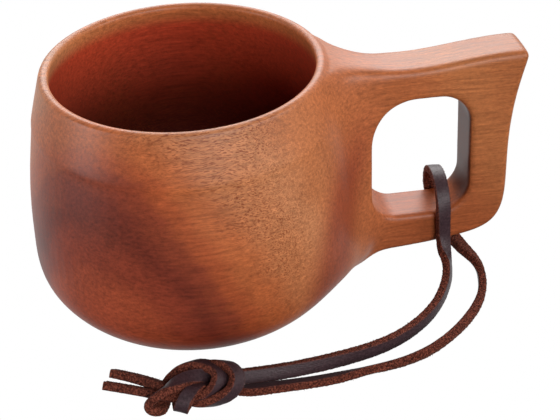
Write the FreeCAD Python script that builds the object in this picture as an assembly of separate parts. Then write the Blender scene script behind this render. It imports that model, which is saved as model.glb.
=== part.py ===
import FreeCAD, Part
import math
import os
from FreeCAD import Vector

os.makedirs("parts", exist_ok=True)

# A kuksa: a drinking cup carved with its handle from one block of wood, and a leather lace
# looped round the lower bar of the handle and knotted.
# Millimetres. +Z is up, +X runs out along the handle, -Y is the side the lace lies on.
# The origin is the centre of the flat base that the cup stands on.

# ---- Bowl ----
RIM_HEIGHT = 71.0
RIM_RADIUS = 37.3
MOUTH_RADIUS = 34.5
BASE_RADIUS = 28.0
BELLY_RADIUS = 45.3
BELLY_HEIGHT = 23.0
FLOOR_THICKNESS = 7.0
WALL_THICKNESS = 4.2
RIM_ROUNDING = 1.1

# ---- Handle ----
HANDLE_THICKNESS = 13.8
HANDLE_EDGE_ROUNDING = 2.0
HANDLE_TIP = (93.2, 67.3)
FLARE_RADIUS = 20.0
FLARE_SINK = 0.2
FLARE_LEVELS = (1.0, 4.5, 8.0, 14.0, 20.0, 28.0, 38.0, 48.0, 58.0, 66.0, 71.5)
HOLE_X = (49.4, 78.6)
HOLE_Z = (17.9, 55.8)
HOLE_TAPER = 1.7
HOLE_CORNER_RADIUS = 9.0
HOLE_INNER_CORNER_RADIUS = 13.0
HOLE_EDGE_ROUNDING = 1.6

# ---- Lace ----
LACE_WIDTH = 4.0
LACE_THICKNESS = 2.3
LACE_GAP = 0.4
LACE_ON_TABLE = LACE_WIDTH / 2 + LACE_GAP / 2
LEG_OFFSET = HANDLE_THICKNESS / 2 + LACE_THICKNESS / 2 + LACE_GAP
ARCH_X = 70.6
ARCH_TOP = 27.3
UNDER_BAR_Z = 5.0
SECTIONS_A_STATION = 3

# Where the lace bends. Each bend is a line that the faces on both sides of the cut meet on,
# at the side of the lace that the bend closes towards, so the cut only ever opens.
HANG_CUT = (Vector(82.4, -10.5, 0), Vector(-1, 0, 0))
SWEEP_CUT = (Vector(82.4, -19.0, 0), Vector(-1, 0, 0))
BEND_CUT = (Vector(58.4, -49.4, 0), Vector(-0.41, 0.91, 0))
KNOT_CUT = (Vector(9.4, -55.2, 0), Vector(0, 1, 0))
TAIL_CUT = (Vector(-20.0, -51.2, 0), Vector(0.55, 0.83, 0))

# The knot is a thick flattened ring, as wide as both strands wrapped round each other.
KNOT_CENTRE = Vector(-5.2, -50.6, 4.2)
KNOT_RING_RADIUS = 3.9
KNOT_CORD_RADIUS = 3.4
KNOT_STRETCH = (1.7, 1.0, 1.2)

X_AXIS = Vector(1, 0, 0)
Z_AXIS = Vector(0, 0, 1)
CENTRE = Vector(0, 0, 0)
FRONT = Vector(0, -1, 0)
BACK = Vector(0, 1, 0)
UP = Vector(0, 0, 1)
DOWN = Vector(0, 0, -1)
LEANING_BACK = Vector(0, -1, 0.4)
LYING_FLAT = Vector(0, 0.4, 0.92)
TAIL_GRAIN = Vector(0, -0.69, -0.73)


def curve(points, start=None, end=None):
    """A smooth curve through points, leaving and arriving along the two given directions."""
    spline = Part.BSplineCurve()
    if start is None:
        spline.interpolate(points)
    else:
        spline.interpolate(Points=points, InitialTangent=start, FinalTangent=end)
    return spline


def side_view(points):
    """(x, z) pairs as points in the plane of the handle."""
    return [Vector(x, 0, z) for x, z in points]


def turned(outline):
    """The solid of revolution of a closed outline, with its seam on the side away from the handle."""
    face = Part.Face(Part.Wire(outline))
    face.rotate(CENTRE, Z_AXIS, 180)
    return face.revolve(CENTRE, Z_AXIS, 360)


def mirrored(point):
    return Vector(point.x, -point.y, point.z)


# ---- The cup ----

OUTER_CURVE = curve(
    side_view([
        (BASE_RADIUS, 0),
        (34.9, 2.5),
        (40.6, 7.1),
        (44.7, 14.0),
        (BELLY_RADIUS, BELLY_HEIGHT),
        (43.1, 46.0),
        (41.2, 56.7),
        (RIM_RADIUS, RIM_HEIGHT),
    ]),
    Vector(1, 0, 0.25),
    Vector(-0.3, 0, 1),
)


def outer_radius(height):
    """The bowl's outside radius at a height."""
    low, high = OUTER_CURVE.FirstParameter, OUTER_CURVE.LastParameter
    for _ in range(50):
        middle = (low + high) / 2
        if OUTER_CURVE.value(middle).z < height:
            low = middle
        else:
            high = middle
    return OUTER_CURVE.value(low).x


def bowl_blank():
    """The bowl's outside as a solid, not yet hollow."""
    return turned([
        OUTER_CURVE.toShape(),
        Part.makeLine(Vector(RIM_RADIUS, 0, RIM_HEIGHT), Vector(0, 0, RIM_HEIGHT)),
        Part.makeLine(Vector(0, 0, RIM_HEIGHT), CENTRE),
        Part.makeLine(CENTRE, Vector(BASE_RADIUS, 0, 0)),
    ])


def cavity():
    """The hollow that holds the drink."""
    widest = BELLY_RADIUS - WALL_THICKNESS
    wall = curve(
        side_view([
            (0, FLOOR_THICKNESS),
            (22.0, FLOOR_THICKNESS + 1.6),
            (34.8, 14.5),
            (widest, 27.0),
            (38.9, 44.0),
            (MOUTH_RADIUS, RIM_HEIGHT),
        ]),
        X_AXIS,
        Vector(-0.25, 0, 1),
    )
    return turned([
        wall.toShape(),
        Part.makeLine(Vector(MOUTH_RADIUS, 0, RIM_HEIGHT), Vector(0, 0, RIM_HEIGHT)),
        Part.makeLine(Vector(0, 0, RIM_HEIGHT), Vector(0, 0, FLOOR_THICKNESS)),
    ])


def flare_section(height):
    """A level slice of the handle: flat sides that flare out in an arc to meet the round bowl."""
    half = HANDLE_THICKNESS / 2
    bowl_radius = outer_radius(min(height, RIM_HEIGHT)) - FLARE_SINK
    arc_y = -(half + FLARE_RADIUS)
    arc_x = math.sqrt((bowl_radius + FLARE_RADIUS) ** 2 - arc_y ** 2)
    at_bowl = math.atan2(-arc_y, -arc_x)

    def on_arc(angle):
        return Vector(
            arc_x + FLARE_RADIUS * math.cos(angle), arc_y + FLARE_RADIUS * math.sin(angle), height
        )

    inner = on_arc(at_bowl)
    middle = on_arc((at_bowl + math.pi / 2) / 2)
    outer = on_arc(math.pi / 2)
    end = Vector(HANDLE_TIP[0] + 5, -half, height)
    return Part.Wire([
        Part.makeLine(end, outer),
        Part.Arc(outer, middle, inner).toShape(),
        Part.makeLine(inner, mirrored(inner)),
        Part.Arc(mirrored(inner), mirrored(middle), mirrored(outer)).toShape(),
        Part.makeLine(mirrored(outer), mirrored(end)),
        Part.makeLine(mirrored(end), end),
    ])


def handle_side_outline():
    """The handle seen from the side: dipped top, hollowed end and rounded lower corner."""
    inside = MOUTH_RADIUS - 6
    root = (RIM_RADIUS - 0.6, RIM_HEIGHT - 0.8)
    below_the_rim = root[1] - 4 * RIM_ROUNDING
    corner_top = (89.8, 24.0)
    corner_bottom = (77.5, 8.6)
    under_bowl = (41.0, 2.4)
    top = curve(side_view([root, (45.5, 66.9), (57.0, 65.0), (74.0, 66.1), HANDLE_TIP]))
    end = curve(
        side_view([HANDLE_TIP, (90.7, 55.0), (89.5, 40.0), corner_top]),
        Vector(-0.2, 0, -1),
        Vector(0, 0, -1),
    )
    corner = curve(
        side_view([corner_top, (85.9, 11.9), corner_bottom]), Vector(0, 0, -1), Vector(-1, 0, -0.18)
    )
    underside = curve(
        side_view([corner_bottom, (66.0, 6.9), (55.0, 6.0), (47.0, 4.7), under_bowl]),
        Vector(-1, 0, -0.18),
        Vector(-1, 0, -0.6),
    )
    return Part.Wire([
        top.toShape(),
        end.toShape(),
        corner.toShape(),
        underside.toShape(),
        Part.makePolygon(side_view([under_bowl, (inside, under_bowl[1]), (inside, below_the_rim), root])),
    ])


def handle():
    """The handle with its flare, its edges rounded and the finger hole cut."""
    blank = Part.makeLoft([flare_section(level) for level in FLARE_LEVELS], True, False)
    wedge_face = Part.Face(handle_side_outline())
    wedge_face.rotate(CENTRE, Z_AXIS, -45)
    shaped = blank.common(wedge_face.revolve(CENTRE, Z_AXIS, 90))
    edges = [edge for edge in shaped.Edges if borders_a_side(edge) or crosses_the_tip(edge)]
    return shaped.makeFillet(HANDLE_EDGE_ROUNDING, edges)


def borders_a_side(edge):
    """True for the long edges where the handle's sides meet its top, end and underside."""
    middle = edge.valueAt((edge.FirstParameter + edge.LastParameter) / 2)
    on_a_side = abs(middle.y) > HANDLE_THICKNESS / 2 - 0.1
    outside_the_bowl = middle.x > RIM_RADIUS
    upright_in_the_side = edge.BoundBox.ZLength > 50
    return on_a_side and outside_the_bowl and not upright_in_the_side


def crosses_the_tip(edge):
    """True for the edge from side to side where the handle's top meets its end."""
    middle = edge.valueAt((edge.FirstParameter + edge.LastParameter) / 2)
    return middle.distanceToPoint(Vector(HANDLE_TIP[0], 0, HANDLE_TIP[1])) < 0.5


def rounded_outline(corners, radii):
    """A closed outline with straight sides and a round arc of its own radius at each corner."""
    pieces = []
    last = None
    for i, (corner, radius) in enumerate(zip(corners, radii)):
        back = (corners[i - 1] - corner).normalize()
        ahead = (corners[(i + 1) % len(corners)] - corner).normalize()
        half_angle = back.getAngle(ahead) / 2
        inward = (back + ahead).normalize()
        start = corner + back * (radius / math.tan(half_angle))
        end = corner + ahead * (radius / math.tan(half_angle))
        middle = corner + inward * (radius / math.sin(half_angle) - radius)
        if last is None:
            first = start
        else:
            pieces.append(Part.makeLine(last, start))
        pieces.append(Part.Arc(start, middle, end).toShape())
        last = end
    pieces.append(Part.makeLine(last, first))
    return Part.Wire(pieces)


def finger_hole():
    """The hole, narrower at its top outer corner, as the solid that it removes."""
    depth = 4 * HANDLE_THICKNESS
    corners = [
        Vector(HOLE_X[0], -depth / 2, HOLE_Z[0]),
        Vector(HOLE_X[1], -depth / 2, HOLE_Z[0]),
        Vector(HOLE_X[1] - HOLE_TAPER, -depth / 2, HOLE_Z[1]),
        Vector(HOLE_X[0], -depth / 2, HOLE_Z[1]),
    ]
    radii = [HOLE_CORNER_RADIUS] * 3 + [HOLE_INNER_CORNER_RADIUS]
    return Part.Face(rounded_outline(corners, radii)).extrude(Vector(0, depth, 0))


def hole_rims(shape):
    """The edges where the finger hole opens on the handle's two sides."""
    edges = []
    for edge in shape.Edges:
        box = edge.BoundBox
        inside_x = box.XMin > HOLE_X[0] - 0.5 and box.XMax < HOLE_X[1] + 0.5
        inside_z = box.ZMin > HOLE_Z[0] - 0.5 and box.ZMax < HOLE_Z[1] + 0.5
        if inside_x and inside_z and box.YLength < HANDLE_THICKNESS / 2:
            edges.append(edge)
    return edges


def cup():
    hollow = cavity()
    bowl = bowl_blank().cut(hollow)
    rims = [edge for edge in bowl.Edges if edge.BoundBox.ZMin > RIM_HEIGHT - 0.1]
    bowl = bowl.makeFillet(RIM_ROUNDING, rims)
    grip = handle().cut(finger_hole())
    grip = grip.makeFillet(HOLE_EDGE_ROUNDING, hole_rims(grip))
    return bowl.fuse(grip.cut(hollow))


# ---- The lace ----

def lace_corners(path, place, grain):
    """The four corners across the lace at a place on its path, grain face towards grain."""
    point = path.value(place)
    along = path.tangent(place)[0]
    outward = (grain - along * grain.dot(along)).normalize()
    half_wide = along.cross(outward) * (LACE_WIDTH / 2)
    half_thick = outward * (LACE_THICKNESS / 2)
    return [
        point + half_wide + half_thick,
        point - half_wide + half_thick,
        point - half_wide - half_thick,
        point + half_wide - half_thick,
    ]


def strap(stations, start):
    """A length of flat lace through stations, each a point and the way its grain face looks."""
    points = [point for point, _ in stations]
    path = Part.BSplineCurve()
    path.interpolate(
        Points=points,
        Tangents=[start] * len(points),
        TangentFlags=[True] + [False] * (len(points) - 1),
    )
    places = [path.parameter(point) for point in points]
    grains = [grain / grain.Length for _, grain in stations]
    sections = []
    section_places = []
    for i in range(len(places) - 1):
        for step in range(SECTIONS_A_STATION):
            share = step / SECTIONS_A_STATION
            place = places[i] + (places[i + 1] - places[i]) * share
            grain = grains[i] * (1 - share) + grains[i + 1] * share
            section_places.append(place)
            sections.append(lace_corners(path, place, grain))
    section_places.append(places[-1])
    sections.append(lace_corners(path, places[-1], grains[-1]))
    return sleeve(sections, section_places)


def sleeve(sections, places):
    """A closed solid through four-cornered sections, with a smooth edge along each corner."""
    edges = []
    for corner in zip(*sections):
        spline = Part.BSplineCurve()
        spline.interpolate(Points=list(corner), Parameters=places)
        edges.append(spline.toShape())
    faces = [Part.makeRuledSurface(edges[i - 1], edges[i], 1) for i in range(len(edges))]
    for section in (sections[0], sections[-1]):
        faces.append(Part.Face(Part.makePolygon(section + section[:1])))
    shell = Part.makeShell(faces)
    shell.sewShape()
    solid = Part.makeSolid(shell)
    if solid.Volume < 0:
        solid.reverse()
    return solid


def front_strand():
    """From the top of the arch, down the front of the bar and along the table to the knot."""
    return strap([
        (Vector(ARCH_X, 0, ARCH_TOP), UP),
        (Vector(ARCH_X, -6.9, 24.0), UP + FRONT),
        (Vector(70.6, -LEG_OFFSET - 0.4, 17.8), Vector(0.2, -1, 0)),
        (Vector(70.9, -LEG_OFFSET - 0.4, 11.5), Vector(0.2, -1, 0)),
        (Vector(70.9, -11.0, 7.4), Vector(0.6, -1, 0.5)),
        (Vector(70.5, -16.0, 5.2), Vector(1, -0.3, 0.3)),
        (Vector(68.2, -22.5, 3.9), Vector(1, -0.5, 0.1)),
        (Vector(64.7, -28.0, 2.9), Vector(1, -0.8, 0)),
        (Vector(57.8, -35.2, 2.4), Vector(0.5, -1, 0)),
        (Vector(47.1, -41.7, LACE_ON_TABLE), FRONT),
        (Vector(38.2, -44.6, 2.3), Vector(0, -1, 0.1)),
        (Vector(29.7, -46.3, 2.4), Vector(0, -1, 0.25)),
        (Vector(13.5, -48.1, 2.7), LEANING_BACK),
        (Vector(0, -48.4, 3.2), LEANING_BACK),
    ], FRONT)


def back_strand():
    """From the top of the arch, down behind the bar, under it and along the table to the knot."""
    return strap([
        (Vector(ARCH_X, 0, ARCH_TOP), UP),
        (Vector(70.8, 6.7, 24.0), UP + BACK),
        (Vector(71.4, LEG_OFFSET, 17.8), BACK),
        (Vector(72.6, LEG_OFFSET, 11.5), BACK),
        (Vector(74.0, 7.6, 6.2), BACK + DOWN),
        (Vector(75.8, 0, UNDER_BAR_Z), DOWN),
        (Vector(77.8, -8.5, 4.8), Vector(-0.3, 0, -1)),
        (Vector(79.6, -14.0, 4.2), Vector(-1, 0, -1)),
        (Vector(79.6, -20.0, 3.4), Vector(-1, 0.1, -0.2)),
        (Vector(77.9, -26.0, 2.8), Vector(-1, 0.4, 0)),
        (Vector(71.7, -35.2, 2.4), Vector(-1, 0.8, 0.2)),
        (Vector(63.7, -42.6, 2.4), Vector(-0.6, 0.8, 0.45)),
        (Vector(56.1, -47.4, 2.4), Vector(-0.4, 1, 0.6)),
        (Vector(47.3, -50.2, 2.3), Vector(-0.2, 1, 0.8)),
        (Vector(39.0, -51.5, 2.4), BACK + UP),
        (Vector(30.7, -52.4, 2.1), Vector(0, 0.5, 0.95)),
        (Vector(13.0, -52.8, 2.0), LYING_FLAT),
        (Vector(0, -52.6, 2.0), LYING_FLAT),
    ], BACK)


def front_tail():
    return strap([
        (Vector(-8.0, -51.5, 3.6), TAIL_GRAIN),
        (Vector(-14.0, -49.0, 3.4), TAIL_GRAIN),
        (Vector(-20.4, -44.2, 3.0), TAIL_GRAIN),
        (Vector(-27.2, -40.3, 2.8), TAIL_GRAIN),
    ], -X_AXIS)


def back_tail():
    return strap([
        (Vector(-8.0, -54.2, 2.6), TAIL_GRAIN),
        (Vector(-15.6, -51.0, 2.6), TAIL_GRAIN),
        (Vector(-22.4, -47.5, 2.3), TAIL_GRAIN),
        (Vector(-29.3, -44.4, 2.3), TAIL_GRAIN),
    ], -X_AXIS)


def beyond(cut):
    """Everything on the far side of a bend's upright cut, counted along the lace from the handle."""
    corner, across = cut
    size = 300.0
    turn = math.degrees(math.atan2(across.y, across.x))
    half_space = Part.makeBox(2 * size, size, 2 * size, Vector(-size, 0, -size))
    half_space.rotate(CENTRE, Z_AXIS, turn)
    half_space.translate(corner)
    return half_space


def between(strand, first, last):
    return strand.common(beyond(first)).cut(beyond(last))


def knot(front, back, tails):
    """The knot with the short ends of lace that run into it on both sides."""
    ring = Part.makeTorus(KNOT_RING_RADIUS, KNOT_CORD_RADIUS)
    stretch = FreeCAD.Matrix()
    stretch.scale(*KNOT_STRETCH)
    shape = ring.transformGeometry(stretch)
    shape.translate(KNOT_CENTRE)
    for strand in (front, back):
        shape = shape.fuse(strand.common(beyond(KNOT_CUT)))
    for tail in tails:
        shape = shape.fuse(tail.cut(beyond(TAIL_CUT)))
    return shape


def lace_parts():
    front = front_strand()
    back = back_strand()
    tails = (front_tail(), back_tail())
    parts = {"lace_loop": front.cut(beyond(HANG_CUT)).fuse(back.cut(beyond(HANG_CUT)))}
    for side, strand in (("front", front), ("back", back)):
        parts[f"lace_{side}_neck"] = between(strand, HANG_CUT, SWEEP_CUT)
        parts[f"lace_{side}_strand"] = between(strand, SWEEP_CUT, BEND_CUT)
        parts[f"lace_{side}_end"] = between(strand, BEND_CUT, KNOT_CUT)
    parts["lace_knot"] = knot(front, back, tails)
    parts["lace_front_tail"] = tails[0].common(beyond(TAIL_CUT))
    parts["lace_back_tail"] = tails[1].common(beyond(TAIL_CUT))
    return parts


shapes = {"cup": cup()}
shapes.update(lace_parts())
for name, shape in shapes.items():
    shape.exportStep(f"parts/{name}.step")
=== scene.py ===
import math
import random

import bpy
import numpy as np
from mathutils import Matrix, Vector, noise

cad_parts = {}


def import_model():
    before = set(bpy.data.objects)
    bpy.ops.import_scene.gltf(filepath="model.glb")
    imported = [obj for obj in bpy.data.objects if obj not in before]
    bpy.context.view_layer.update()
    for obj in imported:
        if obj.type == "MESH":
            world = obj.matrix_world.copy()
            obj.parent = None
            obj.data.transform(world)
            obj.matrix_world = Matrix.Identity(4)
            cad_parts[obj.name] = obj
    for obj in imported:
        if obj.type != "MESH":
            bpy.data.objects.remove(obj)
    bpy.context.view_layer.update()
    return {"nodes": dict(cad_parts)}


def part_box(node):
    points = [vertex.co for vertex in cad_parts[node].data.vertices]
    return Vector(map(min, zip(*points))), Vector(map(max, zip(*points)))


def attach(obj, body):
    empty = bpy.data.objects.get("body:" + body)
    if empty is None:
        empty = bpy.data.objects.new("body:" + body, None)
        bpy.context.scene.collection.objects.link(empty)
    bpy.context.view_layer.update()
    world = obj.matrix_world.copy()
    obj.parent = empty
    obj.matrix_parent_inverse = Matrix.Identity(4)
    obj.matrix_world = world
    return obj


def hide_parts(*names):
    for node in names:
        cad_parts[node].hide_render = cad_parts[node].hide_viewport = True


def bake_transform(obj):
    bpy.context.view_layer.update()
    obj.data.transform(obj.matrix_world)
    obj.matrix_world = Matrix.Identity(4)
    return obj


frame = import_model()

MM = 0.001

# ---- Driving values, in millimetres of the row frame ----
CUP_VOXEL = 0.5
RIM_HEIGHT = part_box("cup")[1].z / MM
HANDLE_HALF = 6.9
FLARE_RADIUS = 20.0
BELLY_RADIUS = -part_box("cup")[0].x / MM

# The neck under the handle's root is made fuller: where, by how much, how widely, and over
# which x the swell dies out, before the bar that the loop slides along.
NECK_PLACE = (43.0, 14.0, 11.0)
NECK_SWELL = 3.0
NECK_REACH = 7.5
NECK_FADE = (46.0, 56.5)

# Sanding. Each pair is the start and the end of a soft step.
CREASE_INSET = 2.0
CREASE_FADE_DEGREES = (5.0, 13.0)
OUTSIDE_RADII = (36.2, 37.5)
RIM_GUARD = (4.0, 1.5)
ROOT_START_X = (38.0, 41.0)
ROOT_END_X = (46.0, 58.0)
ROOT_TOP_Z = (57.0, 61.0)
SANDING_PASSES = 160
POLISH_PASSES = 3

# The wood's layers: the way they are counted, where the heart layer lies, and the colour at
# distances from it in millimetres.
LAYER_WAY = (-0.72, -0.61, -0.37)
HEART_LAYER = 18.5
LAYER_CURL = 0.007
CURL_FROM_X = -10.0
WARP_MM = 12.0
FIGURE_MM = 5.0
LAYERS = [
    (-106, (0.40, 0.120, 0.036)),
    (-90, (0.46, 0.150, 0.048)),
    (-78, (0.45, 0.128, 0.040)),
    (-66, (0.46, 0.130, 0.042)),
    (-55, (0.48, 0.145, 0.050)),
    (-41, (0.50, 0.165, 0.058)),
    (-30, (0.53, 0.205, 0.085)),
    (-19, (0.51, 0.180, 0.068)),
    (-10, (0.47, 0.122, 0.036)),
    (-5, (0.38, 0.078, 0.023)),
    (-2, (0.25, 0.044, 0.017)),
    (2, (0.18, 0.028, 0.013)),
    (6, (0.28, 0.046, 0.020)),
    (11, (0.42, 0.078, 0.030)),
    (18, (0.55, 0.105, 0.044)),
    (26, (0.58, 0.125, 0.055)),
]

# Other marks on the wood, and painted light and shade. Each pair is the start and the end of a
# soft step, in millimetres unless its name says otherwise.
# The streak: partly a red figure in the wood, partly painted shade in the crease where the flare
# meets the bowl.
STREAK_WAY = (1, 0, -0.26)
STREAK_PLACE = 29.5
STREAK_HALF = (2.0, 12.0)
STREAK_TOP_Z = (38.0, 60.0)
STREAK_STRENGTH = 0.8
STREAK_AND_CREASE_SHADE_COLOUR = (0.29, 0.048, 0.019, 1)
# Painted shade: the cup darkens and reddens towards the table, where less light falls.
FOOT_Z = (3.0, 44.0)
FOOT_SHADE_TINT = (0.74, 0.62, 0.56, 1)
# Painted light in the hollow: a red glow of light bounced between its walls high up, and shade that
# darkens it deeper down.
HOLLOW_RADIUS = 43.0
HOLLOW_TOP_Z = (64.0, 69.0)
HOLLOW_SHADE_Z = (28.0, 68.0)
HOLLOW_PAINTED_LIGHT_STRENGTH = 0.92
HOLLOW_TOP_BOUNCE_COLOUR = (0.40, 0.038, 0.015, 1)
HOLLOW_DEEP_SHADE_COLOUR = (0.08, 0.004, 0.004, 1)
# Painted shade on the finger hole's far wall, which faces the bowl and is kept from the light on the
# left by it.
HANDLE_FROM_RADIUS = 55.0
HOLE_WALL_FACING = (-0.95, -0.6)
HOLE_WALL_SHADE_TINT = (0.22, 0.17, 0.16, 1)
PORE_THRESHOLD = (0.52, 0.62)
PORE_COLOUR = (0.24, 0.052, 0.014, 1)
PORE_END_ON = (0.35, 0.8)
PORE_SWAY = 3.5

LACE_WIDTH = 4.0
LACE_THICKNESS = 2.3
GRAIN_CROWN = 0.10
EDGE_ROUND = 0.45
UNDER_CHAMFER = 0.12
UNDER_INSET = 0.4
# Points of the round edge: (degrees, how raw). Then heights down the side, in half thicknesses.
ROUND_POINTS = ((60, 0.35), (30, 0.9))
SIDE_HEIGHTS = (0.45, 0.1, -0.25, -0.6)
LACE_STEP = 0.28
LACE_SEED = 7
ARCH_X = 70.6
ARCH_TOP = 27.3
TABLE_GAP = 0.03
FIBRES_A_MM = 2.2

# Where each half of the lace is cut into pieces, from the arch to the knot: (axis, value). The
# seams lie between the joints.
SEAMS = [(1, -15.5), (1, -30.0), (0, 30.0), (0, 3.0)]
TAIL_SEAM_X = -12.0
# Each joint of the lace: its two bodies, hinge, way to the free ends, and how far the bend
# reaches before and after the hinge.
BENDS = {
    "hang": (("lace_loop", "lace_neck"), (82.4, -10.5, 2.5), (0, -0.8, -0.6), 4.7, 1.4),
    "sweep": (("lace_neck", "lace_strand"), (82.4, -19.0, 0), (0, -1, 0), 2.5, 3.0),
    "bend": (("lace_strand", "lace_end"), (58.4, -49.4, 0), (-0.91, -0.41, 0), 5.0, 5.0),
    "knot": (("lace_end", "lace_knot"), (9.4, -55.2, 0), (-1, 0, 0), 4.0, 3.9),
    "tail": (("lace_knot", "lace_tail"), (-20.0, -51.2, 0), (-0.83, 0.55, 0), 3.0, 3.0),
}

ROOM_LIGHT = 0.08
BACKDROP_LIGHT = 0.75
BACKDROP_EDGE = (0.1, 0.6)

CAMERA_PLACE = (-11.5, -262.7, 205.6)
CAMERA_WAY = (0.1108, 0.8123, -0.5726)
CAMERA_UP = (0.1115, 0.5623, 0.8194)
CAMERA_LENS = 71.9

FRONT = (0, -1, 0)
BACK = (0, 1, 0)
UP = (0, 0, 1)
DOWN = (0, 0, -1)
LEANING_BACK = (0, -1, 0.4)
LYING_FLAT = (0, 0.4, 0.92)
TAIL_GRAIN = (0, -0.69, -0.73)


# ---- Small helpers ----

def link(name, mesh):
    piece = bpy.data.objects.new(name, mesh)
    bpy.context.collection.objects.link(piece)
    return piece


def baked(piece):
    """Replaces the piece's mesh with the result of its modifiers."""
    graph = bpy.context.evaluated_depsgraph_get()
    piece.data = bpy.data.meshes.new_from_object(piece.evaluated_get(graph))
    piece.modifiers.clear()
    return piece


def smoothstep(low, high, value):
    t = np.clip((value - low) / (high - low), 0.0, 1.0)
    return t * t * (3 - 2 * t)


def points_of(mesh):
    flat = np.empty(len(mesh.vertices) * 3, np.float32)
    mesh.vertices.foreach_get("co", flat)
    return flat.reshape(-1, 3)


# ---- Node helpers ----

class Nodes:
    """A short way to write a node tree: add nodes, and link by passing sockets as inputs."""

    def __init__(self, material):
        material.use_nodes = True
        self.tree = material.node_tree
        self.tree.nodes.clear()

    def add(self, kind, inputs=None, **settings):
        node = self.tree.nodes.new(kind)
        for key, value in settings.items():
            setattr(node, key, value)
        for key, value in (inputs or {}).items():
            if isinstance(value, bpy.types.NodeSocket):
                self.tree.links.new(value, node.inputs[key])
            else:
                node.inputs[key].default_value = value
        return node

    def millimetres(self):
        """The place in the object's own frame."""
        return self.scaled(self.add("ShaderNodeTexCoord").outputs["Object"], (1000, 1000, 1000))

    def math(self, operation, a, b=0.0, c=0.0):
        return self.add("ShaderNodeMath", {0: a, 1: b, 2: c}, operation=operation).outputs[0]

    def mix(self, factor, a, b, blend="MIX"):
        inputs = {"Factor": factor, 6: a, 7: b}
        return self.add("ShaderNodeMix", inputs, data_type="RGBA", blend_type=blend).outputs[2]

    def tinted(self, colour, tint):
        return self.mix(1.0, colour, tint, "MULTIPLY")

    def noise(self, vector, scale, detail=2.0, roughness=0.5):
        return self.add("ShaderNodeTexNoise", {
            "Vector": vector, "Scale": scale, "Detail": detail, "Roughness": roughness,
        }).outputs["Fac"]

    def streaks(self, place, scale, detail, roughness=0.5):
        """Noise drawn out along an axis: scale is per millimetre on each axis."""
        return self.noise(self.scaled(place, scale), 1.0, detail, roughness)

    def scaled(self, vector, scale):
        return self.add("ShaderNodeMapping", {"Vector": vector, "Scale": scale}).outputs[0]

    def part(self, vector, axis):
        return self.add("ShaderNodeSeparateXYZ", {0: vector}).outputs[axis]

    def dot(self, a, b):
        node = self.add("ShaderNodeVectorMath", {0: a, 1: b}, operation="DOT_PRODUCT")
        return node.outputs["Value"]

    def ramp(self, value, stops):
        node = self.add("ShaderNodeValToRGB", {"Fac": value})
        node.color_ramp.interpolation = "EASE"
        elements = node.color_ramp.elements
        while len(elements) < len(stops):
            elements.new(0.5)
        for element, (place, colour) in zip(elements, stops):
            element.position = place
            element.color = (*colour, 1.0)
        return node.outputs["Color"]

    def spread(self, value, low, high):
        """value's range low to high stretched to 0 to 1, with soft ends."""
        return self.add("ShaderNodeMapRange", {
            "Value": value, "From Min": low, "From Max": high,
        }, interpolation_type="SMOOTHSTEP").outputs[0]

    def fade(self, value, low, high):
        """1 below low, 0 above high, with soft ends."""
        return self.math("SUBTRACT", 1.0, self.spread(value, low, high))

    def varied(self, base, noise_value, amount):
        """base moved up or down by a noise of middle 0.5, times amount."""
        return self.math("MULTIPLY_ADD", self.math("SUBTRACT", noise_value, 0.5), amount, base)

    def bump(self, height, strength, distance):
        inputs = {"Height": height, "Strength": strength, "Distance": distance}
        return self.add("ShaderNodeBump", inputs).outputs[0]

    def finish(self, **inputs):
        names = {key.replace("_", " "): value for key, value in inputs.items()}
        shader = self.add("ShaderNodeBsdfPrincipled", names)
        self.add("ShaderNodeOutputMaterial", {"Surface": shader.outputs[0]})


# ---- Wood ----

def layers(n, place):
    """Layers of growth cross the block on a slant. A wavy coordinate counts millimetres through
    them from the dark heart layer that crosses the left of the belly. Returns it and the colour."""
    depth = n.math("SUBTRACT", n.dot(place, LAYER_WAY), HEART_LAYER)
    leftward = n.math("MAXIMUM", n.math("SUBTRACT", CURL_FROM_X, n.part(place, "X")), 0.0)
    depth = n.math("MULTIPLY_ADD", n.math("MULTIPLY", leftward, leftward), -LAYER_CURL, depth)
    depth = n.varied(depth, n.streaks(place, (0.016, 0.035, 0.035), 2.0), WARP_MM)
    depth = n.varied(depth, n.streaks(place, (0.02, 0.16, 0.16), 3.0, 0.55), FIGURE_MM)
    first, last = LAYERS[0][0], LAYERS[-1][0]
    share = n.math("DIVIDE", n.math("SUBTRACT", depth, first), last - first)
    stops = [((at - first) / (last - first), tone) for at, tone in LAYERS]
    return depth, n.ramp(share, stops)


def with_streak_and_crease_shade(n, colour, place, height):
    """A dark red streak stands upright where the handle leaves the bowl: partly a red figure in the
    wood, partly painted shade in the crease of the flare.
    """
    off_streak = n.math("ABSOLUTE", n.math("SUBTRACT", n.dot(place, STREAK_WAY), STREAK_PLACE))
    inside = n.math("MULTIPLY", n.fade(off_streak, *STREAK_HALF), n.fade(height, *STREAK_TOP_Z))
    return n.mix(n.math("MULTIPLY", inside, STREAK_STRENGTH), colour, STREAK_AND_CREASE_SHADE_COLOUR)


def with_hollow_bounce_and_shade(n, colour, outward, from_axis, height):
    """Painted light: the hollow gets a painted red glow of bounced light, and painted shade that
    darkens it the deeper it goes.
    """
    inside = n.fade(outward, -3.0, 3.0)
    inside = n.math("MULTIPLY", inside, n.math("LESS_THAN", from_axis, HOLLOW_RADIUS))
    inside = n.math("MULTIPLY", inside, n.fade(height, *HOLLOW_TOP_Z))
    deep = n.mix(n.fade(height, *HOLLOW_SHADE_Z), HOLLOW_TOP_BOUNCE_COLOUR, HOLLOW_DEEP_SHADE_COLOUR)
    return n.mix(n.math("MULTIPLY", inside, HOLLOW_PAINTED_LIGHT_STRENGTH), colour, deep)


def with_hole_wall_shade(n, colour, sideways, from_axis):
    """Painted shade: the far wall of the finger hole faces the bowl, which keeps the light from the
    left off it, so it is painted dark.
    """
    in_handle = n.math("GREATER_THAN", from_axis, HANDLE_FROM_RADIUS)
    wall_shade = n.math("MULTIPLY", n.fade(sideways, *HOLE_WALL_FACING), in_handle)
    return n.mix(wall_shade, colour, n.tinted(colour, HOLE_WALL_SHADE_TINT))


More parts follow.
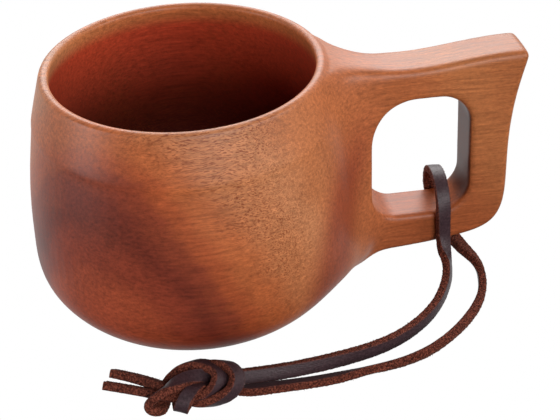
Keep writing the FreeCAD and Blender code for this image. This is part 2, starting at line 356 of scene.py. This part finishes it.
def pores_of(n, place, depth, sideways):
    """Thin dark dashes a few millimetres long, thickest where the layers are pale, and gone
    where the fibres are seen end on."""
    sway = n.math("MULTIPLY", n.streaks(place, (0.12, 0.2, 0.2), 1.0), PORE_SWAY)
    sway = n.add("ShaderNodeCombineXYZ", {"Z": sway}).outputs[0]
    swayed = n.add("ShaderNodeVectorMath", {0: place, 1: sway}, operation="ADD").outputs[0]
    pores = n.spread(n.streaks(swayed, (0.5, 4.4, 4.4), 1.0), *PORE_THRESHOLD)
    pale = n.math("MULTIPLY", n.fade(depth, -20.0, -8.0), n.spread(depth, -52.0, -36.0))
    clusters = n.spread(n.streaks(place, (0.04, 0.06, 0.06), 2.0), 0.38, 0.62)
    amount = n.math("MULTIPLY_ADD", pale, 0.6, n.math("MULTIPLY", clusters, 0.4))
    pores = n.math("MULTIPLY", pores, amount)
    return n.math("MULTIPLY", pores, n.fade(n.math("ABSOLUTE", sideways), *PORE_END_ON))


def wood():
    """Reddish wood with a satin oil finish: layers across the block, short dark pores along it."""
    material = bpy.data.materials.new("oiled_wood")
    n = Nodes(material)
    place = n.millimetres()
    height = n.part(place, "Z")
    facing = n.add("ShaderNodeNewGeometry").outputs["Normal"]
    sideways = n.part(facing, "X")
    flat_place = n.scaled(place, (1, 1, 0))
    length = n.add("ShaderNodeVectorMath", {0: flat_place}, operation="LENGTH")
    from_axis = length.outputs["Value"]

    depth, colour = layers(n, place)
    # Partly painted shade: the streak in the crease of the flare.
    colour = with_streak_and_crease_shade(n, colour, place, height)
    # Painted shade: low down, the bowl's foot and the handle's bar are darker and redder, where less
    # light falls.
    colour = n.mix(n.fade(height, *FOOT_Z), colour, n.tinted(colour, FOOT_SHADE_TINT))
    # Painted bounce light and shade in the hollow.
    colour = with_hollow_bounce_and_shade(n, colour, n.dot(facing, flat_place), from_axis, height)
    # Painted shade on the finger hole's far wall.
    colour = with_hole_wall_shade(n, colour, sideways, from_axis)

    # Slow drifts, fine fibres and flecks, all drawn out along the block.
    fibres = n.streaks(place, (0.07, 1.3, 1.3), 5.0, 0.7)
    shade = n.varied(1.0, n.streaks(place, (0.03, 0.07, 0.07), 2.0), 0.45)
    shade = n.varied(shade, fibres, 1.6)
    shade = n.varied(shade, n.streaks(place, (0.9, 2.2, 1.2), 4.0, 0.7), 0.8)
    tint = n.add("ShaderNodeCombineXYZ", {"X": shade, "Y": shade, "Z": shade}).outputs[0]
    colour = n.tinted(colour, tint)

    pores = pores_of(n, place, depth, sideways)
    n.finish(
        Base_Color=n.mix(pores, colour, PORE_COLOUR),
        Roughness=n.math("MULTIPLY_ADD", fibres, 0.14, 0.38),
        Normal=n.bump(n.math("SUBTRACT", fibres, pores), 0.22, 0.00008),
        Coat_Weight=0.08, Coat_Roughness=0.32, Specular_IOR_Level=0.4,
    )
    return material


# ---- Leather ----

def leather():
    """Dark brown lace: one smooth waxy grain face, the other three sides raw red-brown suede."""
    material = bpy.data.materials.new("lace_leather")
    n = Nodes(material)
    place = n.millimetres()
    raw = n.add("ShaderNodeAttribute", attribute_name="raw").outputs["Fac"]

    grain = n.ramp(n.noise(place, 1.6, 4.0, 0.6), [
        (0.3, (0.028, 0.013, 0.016)),
        (0.55, (0.050, 0.025, 0.030)),
        (0.75, (0.085, 0.045, 0.050)),
    ])
    nap_noise = n.noise(place, 2.0, 5.0, 0.8)
    nap = n.ramp(nap_noise, [
        (0.38, (0.014, 0.004, 0.003)),
        (0.49, (0.085, 0.018, 0.010)),
        (0.60, (0.26, 0.070, 0.042)),
    ])
    colour = n.mix(raw, grain, nap)
    cells = n.add("ShaderNodeTexVoronoi", {"Vector": place, "Scale": 2.6}).outputs["Distance"]
    height = n.add("ShaderNodeMix", {
        "Factor": raw, 2: n.math("MULTIPLY", cells, 0.25), 3: nap_noise,
    }).outputs[0]
    n.finish(
        Base_Color=colour,
        Roughness=n.math("MULTIPLY_ADD", raw, 0.45, 0.42),
        Normal=n.bump(height, 0.9, 0.0003),
        Sheen_Weight=n.math("MULTIPLY", raw, 0.12), Sheen_Roughness=0.5,
        Sheen_Tint=(0.6, 0.3, 0.22, 1), Specular_IOR_Level=n.math("MULTIPLY_ADD", raw, -0.25, 0.4),
    )
    return material


# ---- The cup ----

def fill_neck(cup):
    """Swells the neck under the handle's root, to run smoothly into the bowl. Returns the points."""
    here = points_of(cup.data) / MM
    normals = np.empty(len(here) * 3, np.float32)
    cup.data.vertices.foreach_get("normal", normals)
    away = np.linalg.norm(np.abs(here) - NECK_PLACE, axis=1)
    fuller = NECK_SWELL * np.exp(-0.5 * (away / NECK_REACH) ** 2) * (here[:, 0] > 0)
    fuller *= 1.0 - smoothstep(*NECK_FADE, here[:, 0])
    here = here + normals.reshape(-1, 3) * fuller[:, None]
    cup.data.vertices.foreach_set("co", (here * MM).astype(np.float32).ravel())
    return here


def sanding_weights(here):
    """How hard each point is sanded: along the crease where the handle's flare meets the bowl,
    and on top of the handle's root. The rim and the hollow are left alone."""
    across = np.hypot(here[:, 0], here[:, 1])
    turn = np.degrees(np.arctan2(np.abs(here[:, 1]), here[:, 0]))
    reach = BELLY_RADIUS + FLARE_RADIUS - CREASE_INSET
    crease = math.degrees(math.asin((HANDLE_HALF + FLARE_RADIUS) / reach))
    near = 1.0 - smoothstep(*CREASE_FADE_DEGREES, np.abs(turn - crease))
    rim_from, rim_to = (RIM_HEIGHT - guard for guard in RIM_GUARD)
    below_rim = 1.0 - smoothstep(rim_from, rim_to, here[:, 2])
    at_root = smoothstep(*ROOT_START_X, here[:, 0]) * (1.0 - smoothstep(*ROOT_END_X, here[:, 0]))
    at_root *= smoothstep(*ROOT_TOP_Z, here[:, 2])
    return np.maximum(near * below_rim, at_root) * smoothstep(*OUTSIDE_RADII, across)


def smoothed(cup, name, passes, group=""):
    smoothing = cup.modifiers.new(name, "SMOOTH")
    smoothing.vertex_group = group
    smoothing.factor = 0.5
    smoothing.iterations = passes


def carved_cup(material):
    """The cup as one even mesh, with the neck filled and the crease sanded out."""
    cup = link("cup_wood", frame["nodes"]["cup"].data.copy())
    remesh = cup.modifiers.new("even_mesh", "REMESH")
    remesh.mode = "VOXEL"
    remesh.voxel_size = CUP_VOXEL * MM
    baked(cup)

    weights = sanding_weights(fill_neck(cup))
    group = cup.vertex_groups.new(name="crease")
    for index in np.nonzero(weights > 0.01)[0]:
        group.add([int(index)], float(weights[index]), "REPLACE")
    smoothed(cup, "sand_crease", SANDING_PASSES, group.name)
    smoothed(cup, "polish", POLISH_PASSES)
    baked(cup)
    cup.vertex_groups.clear()
    cup.data.shade_smooth()
    cup.data.materials.clear()
    cup.data.materials.append(material)
    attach(cup, "cup")
    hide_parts("cup")


# ---- The lace ----

def lace_edge(side):
    """One side of the cross-section, from the grain face down to the underside."""
    half_w = LACE_WIDTH / 2
    half_t = LACE_THICKNESS / 2
    columns = []
    for degrees, raw in ROUND_POINTS:
        c, s = math.cos(math.radians(degrees)), math.sin(math.radians(degrees))
        across = half_w - EDGE_ROUND + EDGE_ROUND * c
        columns.append((side * across, half_t - EDGE_ROUND + EDGE_ROUND * s, raw))
    columns += [(side * half_w, height * half_t, 1.0) for height in SIDE_HEIGHTS]
    columns.append((side * (half_w - UNDER_CHAMFER), -half_t + UNDER_CHAMFER, 1.0))
    return columns


def lace_outline():
    """The lace's cross-section as (across, out, raw) columns, counted round from the grain face."""
    half_w = LACE_WIDTH / 2
    half_t = LACE_THICKNESS / 2
    grain_half = half_w - EDGE_ROUND
    under_half = half_w - UNDER_INSET
    columns = []
    for u in np.linspace(-grain_half, grain_half, 9):
        bulge = GRAIN_CROWN * (1 - (u / half_w) ** 2)
        columns.append((u, half_t + bulge - GRAIN_CROWN, 0.0))
    columns += lace_edge(1)
    columns += [(u, -half_t, 1.0) for u in np.linspace(under_half, -under_half, 8)]
    return columns + lace_edge(-1)[::-1]


def spline_through(values, places, wanted):
    """Natural cubic spline through values at places, evaluated at wanted."""
    values = np.asarray(values, float)
    gaps = np.diff(places)
    count = len(places)
    matrix = np.eye(count)
    right = np.zeros_like(values)
    for i in range(1, count - 1):
        matrix[i, i - 1:i + 2] = gaps[i - 1], 2 * (gaps[i - 1] + gaps[i]), gaps[i]
        after = (values[i + 1] - values[i]) / gaps[i]
        before = (values[i] - values[i - 1]) / gaps[i - 1]
        right[i] = 6 * (after - before)
    bends = np.linalg.solve(matrix, right)
    i = np.clip(np.searchsorted(places, wanted) - 1, 0, count - 2)
    h = gaps[i][:, None]
    a = (places[i + 1][:, None] - wanted[:, None]) / h
    b = 1 - a
    curve = a * values[i] + b * values[i + 1]
    return curve + ((a ** 3 - a) * bends[i] + (b ** 3 - b) * bends[i + 1]) * h * h / 6


class Lace:
    """One strip of lace through stations (x, y, z, way the grain face looks), as rings of points."""

    def __init__(self, stations, seed):
        points = np.array([station[:3] for station in stations], float)
        faces = np.array([station[3] for station in stations], float)
        faces /= np.linalg.norm(faces, axis=1)[:, None]
        places = np.concatenate([[0], np.cumsum(np.linalg.norm(np.diff(points, axis=0), axis=1))])
        wanted = np.linspace(0, places[-1], int(places[-1] / LACE_STEP) + 1)
        self.path = spline_through(points, places, wanted)
        along = np.gradient(self.path, axis=0)
        self.along = along / np.linalg.norm(along, axis=1)[:, None]
        out = np.stack([np.interp(wanted, places, faces[:, axis]) for axis in range(3)], axis=1)
        out = softened(out, 5)
        out -= self.along * np.sum(out * self.along, axis=1)[:, None]
        self.out = out / np.linalg.norm(out, axis=1)[:, None]
        self.side = np.cross(self.along, self.out)
        self.random = random.Random(seed)
        self.outline = lace_outline()
        self.rings = self.build_rings()
        self.normals = self.build_normals()

    def outward(self, row, column):
        """The way out of the lace at a point of its surface."""
        across, out, _ = self.outline[column]
        way = self.side[row] * across / LACE_WIDTH + self.out[row] * out / LACE_THICKNESS
        return way / np.linalg.norm(way)

    def build_rings(self):
        rings = np.empty((len(self.path), len(self.outline), 3))
        for row, centre in enumerate(self.path):
            for column, (across, out, raw) in enumerate(self.outline):
                base = centre + self.side[row] * across + self.out[row] * out
                coarse = noise.noise(Vector(base) * 1.9)
                fine = noise.noise(Vector(base) * 4.3)
                height = (0.55 * coarse + 0.45 * fine) * (0.02 + 0.24 * raw)
                rings[row, column] = base + self.outward(row, column) * height
        rings[..., 2] = np.maximum(rings[..., 2], TABLE_GAP)
        return rings

    def build_normals(self):
        """Smooth normals of the whole strip, so that no seam shows between its pieces."""
        lengthwise = np.gradient(self.rings, axis=0)
        round_it = np.roll(self.rings, -1, axis=1) - np.roll(self.rings, 1, axis=1)
        normals = np.cross(round_it, lengthwise)
        flip = np.sign(np.sum(normals * (self.rings - self.path[:, None]), axis=2))
        normals *= flip[..., None]
        return normals / np.maximum(np.linalg.norm(normals, axis=2), 1e-9)[..., None]

    def passing(self, axis, value, row, step):
        """The first ring, going from row by step, whose centre has passed value on an axis."""
        before = self.path[row, axis] > value
        while (self.path[row, axis] > value) == before:
            row += step
        return row

    def piece(self, name, first, last, material):
        """A closed mesh of the rings first to last, with loose fibres on its raw sides."""
        rings = self.rings[first:last + 1]
        count, width = rings.shape[:2]
        vertices = [tuple(point) for point in rings.reshape(-1, 3) * MM]
        normals = [tuple(normal) for normal in self.normals[first:last + 1].reshape(-1, 3)]
        raw = [column[2] for column in self.outline] * count
        faces = []
        for i in range(count - 1):
            for j in range(width):
                k = (j + 1) % width
                here, there = i * width, (i + 1) * width
                faces.append((here + j, here + k, there + k, there + j))
        for row, way in ((0, -1), (count - 1, 1)):
            start = len(vertices)
            vertices.extend(tuple(point) for point in rings[row] * MM)
            normals.extend([tuple(self.along[first + row] * way)] * width)
            raw.extend([1.0] * width)
            faces.append(tuple(start + j for j in range(width))[::way])
        raw_columns = [j for j, column in enumerate(self.outline) if column[2] == 1.0]
        for _ in range(int(count * LACE_STEP * FIBRES_A_MM)):
            row = first + self.random.randrange(1, count - 1)
            column = self.random.choice(raw_columns)
            self.add_fibre(row, column, vertices, normals, raw, faces)
        mesh = bpy.data.meshes.new(name)
        mesh.from_pydata(vertices, [], faces)
        mesh.attributes.new("raw", "FLOAT", "POINT").data.foreach_set("value", raw)
        mesh.shade_smooth()
        mesh.normals_split_custom_set_from_vertices(normals)
        mesh.materials.append(material)
        piece = link(name, mesh)
        return piece

    def add_fibre(self, row, column, vertices, normals, raw, faces):
        """A hair of loose leather, as a thin bent three-sided spike rooted inside the lace."""
        outward = self.outward(row, column)
        root = self.rings[row, column]
        lean = [self.random.uniform(-1, 1) for _ in range(6)]
        way = outward + 0.9 * (self.along[row] * lean[0] + self.side[row] * lean[1])
        way /= np.linalg.norm(way)
        curl = way + 0.8 * (self.along[row] * lean[2] + self.out[row] * lean[3])
        curl /= np.linalg.norm(curl)
        length = 0.12 + 0.5 * abs(lean[4]) ** 2
        thick = 0.035 + 0.02 * abs(lean[5])
        across_way = np.cross(way, self.along[row])
        across_way /= np.linalg.norm(across_way)
        other_way = np.cross(way, across_way)
        tip = root + way * length * 0.6 + curl * length * 0.5
        if tip[2] < TABLE_GAP:
            return
        start = len(vertices)
        bend = root + way * length * 0.6
        for centre, size in ((root - outward * 0.15, thick), (bend, thick * 0.7)):
            for turn in range(3):
                angle = turn * 2 * math.pi / 3
                radial = across_way * math.cos(angle) + other_way * math.sin(angle)
                vertices.append(tuple((centre + size * radial) * MM))
                normals.append(tuple(radial))
        vertices.append(tuple(tip * MM))
        normals.append(tuple(way))
        raw.extend([1.0] * 7)
        faces.append((start, start + 2, start + 1))
        for turn in range(3):
            a, b = start + turn, start + (turn + 1) % 3
            faces.append((a, b, b + 3, a + 3))
            faces.append((a + 3, b + 3, start + 6))


def softened(values, passes):
    """values along the strip averaged with their neighbours, so that no turn is sudden."""
    for _ in range(passes):
        padded = np.pad(values, ((1, 1), (0, 0)), mode="edge")
        values = (padded[:-2] + 2 * values + padded[2:]) / 4
    return values


# The strip's stations, each half counted from the arch over the bar towards its free end.
FRONT_HALF = [
    (70.6, -6.9, 24.0, (-0.1, -1, 1)),
    (70.6, -8.85, 17.8, (0.2, -1, 0)),
    (70.9, -8.85, 11.5, (0.3, -1, 0)),
    (70.9, -11.0, 7.4, (0.7, -1, 0.5)),
    (70.5, -16.0, 5.2, (1, -0.3, 0.3)),
    (68.2, -22.5, 3.9, (1, -0.5, 0.1)),
    (64.7, -28.0, 2.9, (1, -0.8, 0)),
    (57.8, -35.2, 2.4, (0.5, -1, 0)),
    (47.1, -41.7, 2.2, FRONT),
    (38.2, -44.6, 2.3, (0, -1, 0.1)),
    (29.7, -46.3, 2.4, (0, -1, 0.25)),
    (13.5, -48.1, 2.7, LEANING_BACK),
    (9.4, -48.3, 2.9, LEANING_BACK),
    (4.0, -48.5, 3.2, LEANING_BACK),
    (-0.5, -49.0, 4.0, (0, -0.9, 0.6)),
    (-3.5, -49.3, 5.4, (-0.1, -0.6, 1)),
    (-6.9, -50.3, 6.6, (-0.15, -0.4, 1)),
    (-10.3, -51.6, 6.7, (-0.5, -0.1, 0.9)),
    (-13.7, -52.4, 5.4, (-0.75, 0.45, 0.5)),
    (-16.9, -53.3, 3.9, (-0.9, 0.4, 0.3)),
    (-18.6, -54.3, 2.4, (-0.9, -0.2, -0.3)),
    (-17.0, -54.6, 1.3, (-0.2, -0.4, -0.9)),
    (-14.7, -51.6, 1.25, (-0.2, 0, -1)),
    (-12.9, -47.3, 1.9, (-0.4, 0.5, -0.8)),
    (-10.9, -45.6, 4.0, (-0.7, 0.7, 0.2)),
    (-7.8, -45.2, 6.0, (-0.4, 0.7, 0.6)),
    (-4.4, -45.9, 6.9, (0, 0.5, 0.86)),
    (-1.2, -48.2, 7.1, (0.5, 0.1, 0.86)),
    (0.2, -51.7, 6.9, (0.62, -0.55, 0.56)),
    (-1.4, -54.1, 5.4, (0.5, -0.8, 0.1)),
    (-4.6, -55.0, 4.0, (0.1, -0.8, -0.5)),
    (-8.1, -53.7, 3.6, TAIL_GRAIN),
    (-12.2, -50.8, 3.6, TAIL_GRAIN),
    (-16.1, -47.6, 3.3, TAIL_GRAIN),
    (-21.7, -43.4, 2.7, TAIL_GRAIN),
    (-27.2, -40.3, 2.5, TAIL_GRAIN),
]

BACK_HALF = [
    (70.8, 6.7, 24.0, (0.1, 1, 1)),
    (71.4, 8.45, 17.8, BACK),
    (72.6, 8.45, 11.5, BACK),
    (74.0, 7.6, 6.2, (0, 1, -1)),
    (75.8, 0.0, 5.0, DOWN),
    (77.8, -8.5, 4.8, (-0.3, 0, -1)),
    (79.6, -14.0, 4.2, (-1, 0, -1)),
    (79.6, -20.0, 3.4, (-1, 0.5, -0.1)),
    (77.9, -26.0, 2.8, (-1, 0.9, 0.1)),
    (71.7, -35.2, 2.4, (-0.8, 1, 0.3)),
    (63.7, -42.6, 2.4, (-0.6, 0.8, 0.45)),
    (56.1, -47.4, 2.4, (-0.4, 1, 0.6)),
    (47.3, -50.2, 2.3, (-0.2, 1, 0.8)),
    (39.0, -51.5, 2.4, (0, 1, 1)),
    (30.7, -52.4, 2.1, (0, 0.5, 0.95)),
    (13.0, -52.8, 2.0, LYING_FLAT),
    (8.0, -52.7, 2.0, LYING_FLAT),
    (3.2, -52.1, 2.2, (-0.3, 0.6, 0.6)),
    (-0.8, -51.9, 3.4, (-1, 0.4, 0.2)),
    (-4.5, -52.2, 4.8, (-0.8, -0.3, 0.6)),
    (-7.1, -54.1, 5.4, (-0.6, -0.5, 0.7)),
    (-8.8, -55.4, 4.4, (-0.6, -0.65, 0.3)),
    (-10.1, -56.2, 2.6, (-0.5, -0.75, -0.3)),
    (-10.4, -54.9, 1.25, (-0.2, -0.3, -1)),
    (-10.7, -51.1, 1.2, DOWN),
    (-10.3, -45.8, 1.3, (0, 0.2, -1)),
    (-7.6, -43.2, 2.6, (-0.2, 1, -0.4)),
    (-4.2, -44.2, 4.2, (-0.2, 1, 0.3)),
    (-0.4, -46.0, 6.2, (0.1, 0.8, 0.6)),
    (2.8, -48.6, 7.5, (0.5, 0.2, 0.8)),
    (4.6, -52.2, 6.7, (0.62, -0.55, 0.56)),
    (3.0, -55.0, 5.0, (0.6, -0.8, 0.1)),
    (-0.6, -56.1, 3.6, (0.2, -0.85, -0.4)),
    (-5.0, -55.7, 2.6, TAIL_GRAIN),
    (-9.1, -53.9, 2.7, TAIL_GRAIN),
    (-13.3, -51.9, 2.6, TAIL_GRAIN),
    (-17.9, -49.5, 2.4, TAIL_GRAIN),
    (-21.9, -47.6, 2.3, TAIL_GRAIN),
    (-29.3, -44.4, 2.3, TAIL_GRAIN),
]


def bent(piece, joint, *nodes):
    """Bakes the piece's place into its mesh, and shows it in place of the CAD's nodes. The joint's
    bodies, hinge, way and reach are looked up, but nothing is bent.
    """
    bodies, hinge, way, before, after = BENDS[joint]
    hinge = Vector(hinge) * MM
    way = Vector(way).normalized() * MM
    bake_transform(piece)
    if nodes:
        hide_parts(*nodes)


def build_half(lace, half, start, end, step, material):
    """One strand from the neck to its free end. Rings count from start to end by step."""
    rows = [start]
    for axis, value in SEAMS:
        rows.append(lace.passing(axis, value, rows[-1], step))
    tail = lace.passing(0, TAIL_SEAM_X, end, -step)
    rows += [tail, end]

    def cut(name, k):
        first, last = sorted(rows[k:k + 2])
        return lace.piece(f"leather_{half}_{name}", first, last, material)

    bent(cut("strand", 1), "sweep", f"lace_{half}_strand")
    bent(cut("end", 2), "bend", f"lace_{half}_end")
    bent(cut("last", 3), "knot")
    wrap = cut("wrap", 4)
    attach(wrap, "lace_knot")
    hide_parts("lace_knot")
    bent(cut("tail", 5), "tail", f"lace_{half}_tail")
    return rows[1]


def build_lace(material):
    """The whole lace is one strip: free end, knot, arch over the bar, knot, free end."""
    arch = (ARCH_X, 0.0, ARCH_TOP, UP)
    lace = Lace(FRONT_HALF[::-1] + [arch] + BACK_HALF, LACE_SEED)
    middle = lace.passing(1, 0.0, lace.passing(2, ARCH_TOP - 3.0, 0, 1), 1)
    front = build_half(lace, "front", middle, 0, -1, material)
    back = build_half(lace, "back", middle, len(lace.path) - 1, 1, material)
    loop = lace.piece("leather_loop", front, back, material)
    bent(loop, "hang", "lace_loop", "lace_front_neck", "lace_back_neck")


# ---- Light and camera ----

def world():
    """Pure white to the eye; to the object, a dim room with a brighter backdrop behind. There is
    no floor, so nothing casts a shadow on one."""
    studio = bpy.data.worlds.new("studio")
    bpy.context.scene.world = studio
    studio.use_nodes = True
    n = Nodes(studio)
    way = n.add("ShaderNodeTexCoord").outputs["Generated"]
    behind = n.spread(n.part(way, "Y"), *BACKDROP_EDGE)
    strength = n.math("MULTIPLY_ADD", behind, BACKDROP_LIGHT, ROOM_LIGHT)
    seen = n.add("ShaderNodeBackground", {"Color": (1, 1, 1, 1)}).outputs[0]
    felt = n.add("ShaderNodeBackground", {"Color": (1, 1, 1, 1), "Strength": strength}).outputs[0]
    to_eye = n.add("ShaderNodeLightPath").outputs["Is Camera Ray"]
    mixed = n.add("ShaderNodeMixShader", {0: to_eye, 1: felt, 2: seen}).outputs[0]
    n.add("ShaderNodeOutputWorld", {"Surface": mixed})


def soft_box(name, place, aim, size, watts, tint=(1, 1, 1)):
    """A rectangular softbox at place, turned towards aim. Places are in metres."""
    light = bpy.data.lights.new(name, "AREA")
    light.shape = "RECTANGLE"
    light.size, light.size_y = size
    light.energy = watts
    light.color = tint
    box = bpy.data.objects.new(name, light)
    bpy.context.collection.objects.link(box)
    box.location = place
    box.rotation_euler = (Vector(aim) - Vector(place)).to_track_quat("-Z", "Y").to_euler()


def lights():
    middle = (0.02, 0, 0.03)
    soft_box("front", (0.16, -0.62, 0.32), middle, (0.40, 0.40), 3.0)
    soft_box("right", (0.70, -0.36, 0.34), middle, (0.40, 0.40), 2.7)
    soft_box("back", (0.10, 0.80, 0.58), middle, (0.90, 0.50), 9.0)
    soft_box("left", (-0.78, -0.16, 0.16), middle, (0.30, 0.40), 2.8, (0.92, 0.95, 1.0))


def camera():
    """The view from the front, a little to the left and well above the rim."""
    forward = Vector(CAMERA_WAY)
    up = Vector(CAMERA_UP)
    right = forward.cross(up).normalized()
    up = right.cross(forward).normalized()
    data = bpy.data.cameras.new("camera")
    data.lens = CAMERA_LENS
    data.sensor_width = 36.0
    data.clip_start = 0.01
    eye = bpy.data.objects.new("camera", data)
    bpy.context.collection.objects.link(eye)
    turn = Matrix((right, up, -forward)).transposed()
    eye.matrix_world = Matrix.Translation(Vector(CAMERA_PLACE) * MM) @ turn.to_4x4()
    bpy.context.scene.camera = eye


bpy.context.scene.view_settings.view_transform = "Standard"
carved_cup(wood())
build_lace(leather())
world()
lights()
camera()
